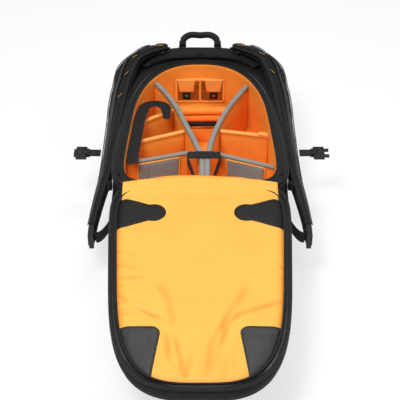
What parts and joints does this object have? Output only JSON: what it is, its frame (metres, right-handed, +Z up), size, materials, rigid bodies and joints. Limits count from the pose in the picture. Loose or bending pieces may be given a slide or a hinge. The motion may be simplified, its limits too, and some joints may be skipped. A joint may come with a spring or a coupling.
{
  "type": "camera backpack",
  "caption": "Rear-access camera backpack lying on its front, back panel folded open on its hinge over the hip belt, with padded dividers, shoulder straps and grab handle.",
  "frame": {"origin": "middle of the flat front face that the bag lies on, on the floor", "axes": "+Z up, +Y towards the top of the bag, +X to the right seen from the base end, where the open flap is"},
  "size_m": [0.466, 0.9611, 0.1946],
  "materials": {
    "shell_fabric": "woven matte nylon",
    "rim_fabric": "smooth coated nylon",
    "orange_lining": "brushed lining",
    "amber_lining": "shiny tricot lining",
    "grey_fabric": "loop fabric and binding tape",
    "zip_chain": "coil zip",
    "card_window": "translucent film",
    "tag_fabric": "woven tag and elastic",
    "webbing": "woven webbing",
    "patch_leatherette": "grained synthetic leather",
    "mesh_padding": "spacer mesh over foam",
    "black_plastic": "moulded acetal",
    "zip_metal": "black lacquered"
  },
  "bodies": {
    "bag_body": {"front_pocket": "shell_fabric", "outer_shell": "shell_fabric", "hinge_piping": "shell_fabric", "rim_flange": "rim_fabric", "harness_yoke": "rim_fabric", "lining": "orange_lining", "top_bolster": "orange_lining", "card_pocket": "orange_lining", "accessory_pocket": "orange_lining", "long_divider_left": "orange_lining", "long_divider_right": "orange_lining", "cross_divider_left_upper": "orange_lining", "cross_divider_left_middle": "orange_lining", "cross_divider_left_lower": "orange_lining", "cross_divider_right_upper": "orange_lining", "cross_divider_right_lower": "orange_lining", "binding_left": "grey_fabric", "binding_right": "grey_fabric", "divider_face_left": "grey_fabric", "divider_face_right": "grey_fabric", "shell_zip": "zip_chain", "card_window": "card_window", "pocket_elastic": "tag_fabric", "divider_yoke_strap": "webbing", "tie_strap": "webbing", "lower_webbing_left": "webbing", "lower_webbing_right": "webbing", "shoulder_strap_left": "mesh_padding", "shoulder_strap_right": "mesh_padding", "load_lifter_left": "black_plastic", "load_lifter_right": "black_plastic", "strap_adjuster_left": "black_plastic", "strap_adjuster_right": "black_plastic", "zip_slider_left": "zip_metal", "zip_slider_right": "zip_metal"},
    "flap": {"flap_panel": "shell_fabric", "flap_lining": "amber_lining", "flap_zip": "zip_chain", "hinge_patch_left": "patch_leatherette", "hinge_patch_right": "patch_leatherette", "end_patch_left": "patch_leatherette", "end_patch_right": "patch_leatherette", "back_pad": "mesh_padding", "lumbar_pad": "mesh_padding"},
    "card_flap_l": {"card_flap_left": "orange_lining", "card_tag_left": "tag_fabric"},
    "card_flap_r": {"card_flap_right": "orange_lining", "card_tag_right": "tag_fabric"},
    "handle": {"grab_handle": "webbing"},
    "sternum_l": {"sternum_web_left": "webbing", "sternum_buckle_left": "black_plastic"},
    "sternum_r": {"sternum_web_right": "webbing", "sternum_buckle_right": "black_plastic"},
    "pull_l": {"zip_pull_left": "zip_metal"},
    "pull_r": {"zip_pull_right": "zip_metal"},
    "hip_l": {"hip_wing_left": "mesh_padding", "belt_buckle_left": "black_plastic"},
    "hip_r": {"hip_wing_right": "mesh_padding", "belt_buckle_right": "black_plastic"}
  },
  "joints": [
    {"name": "flap_hinge", "type": "hinge", "parent": "bag_body", "child": "flap", "pos_m": [0, -0.25, 0.159], "axis": [-1, 0, 0], "range_deg": [0, 185]},
    {"name": "card_flap_left_lift", "type": "hinge", "parent": "bag_body", "child": "card_flap_l", "pos_m": [-0.028, 0.1712, 0.123], "axis": [-1, 0, 0], "range_deg": [0, 110]},
    {"name": "card_flap_right_lift", "type": "hinge", "parent": "bag_body", "child": "card_flap_r", "pos_m": [0.028, 0.1712, 0.123], "axis": [-1, 0, 0], "range_deg": [0, 110]},
    {"name": "grab_handle_pivot", "type": "hinge", "parent": "bag_body", "child": "handle", "pos_m": [0, 0.237, 0.1736], "axis": [1, 0, 0], "range_deg": [-10, 140]},
    {"name": "sternum_left_lift", "type": "hinge", "parent": "bag_body", "child": "sternum_l", "pos_m": [-0.1867, -0.08, 0.1111], "axis": [0, 1, 0], "range_deg": [0, 95]},
    {"name": "sternum_right_lift", "type": "hinge", "parent": "bag_body", "child": "sternum_r", "pos_m": [0.1867, -0.08, 0.1111], "axis": [0, -1, 0], "range_deg": [0, 95]},
    {"name": "zip_pull_left_swing", "type": "hinge", "parent": "bag_body", "child": "pull_l", "pos_m": [-0.16118, -0.22, 0.14], "axis": [0, 1, 0], "range_deg": [0, 90]},
    {"name": "zip_pull_right_swing", "type": "hinge", "parent": "bag_body", "child": "pull_r", "pos_m": [0.16118, -0.22, 0.14], "axis": [0, -1, 0], "range_deg": [0, 90]},
    {"name": "hip_wing_left_swing", "type": "hinge", "parent": "bag_body", "child": "hip_l", "pos_m": [-0.096, -0.2583, 0.001], "axis": [0, 0, -1], "range_deg": [0, 75]},
    {"name": "hip_wing_right_swing", "type": "hinge", "parent": "bag_body", "child": "hip_r", "pos_m": [0.096, -0.2583, 0.001], "axis": [0, 0, 1], "range_deg": [0, 75]}
  ]
}
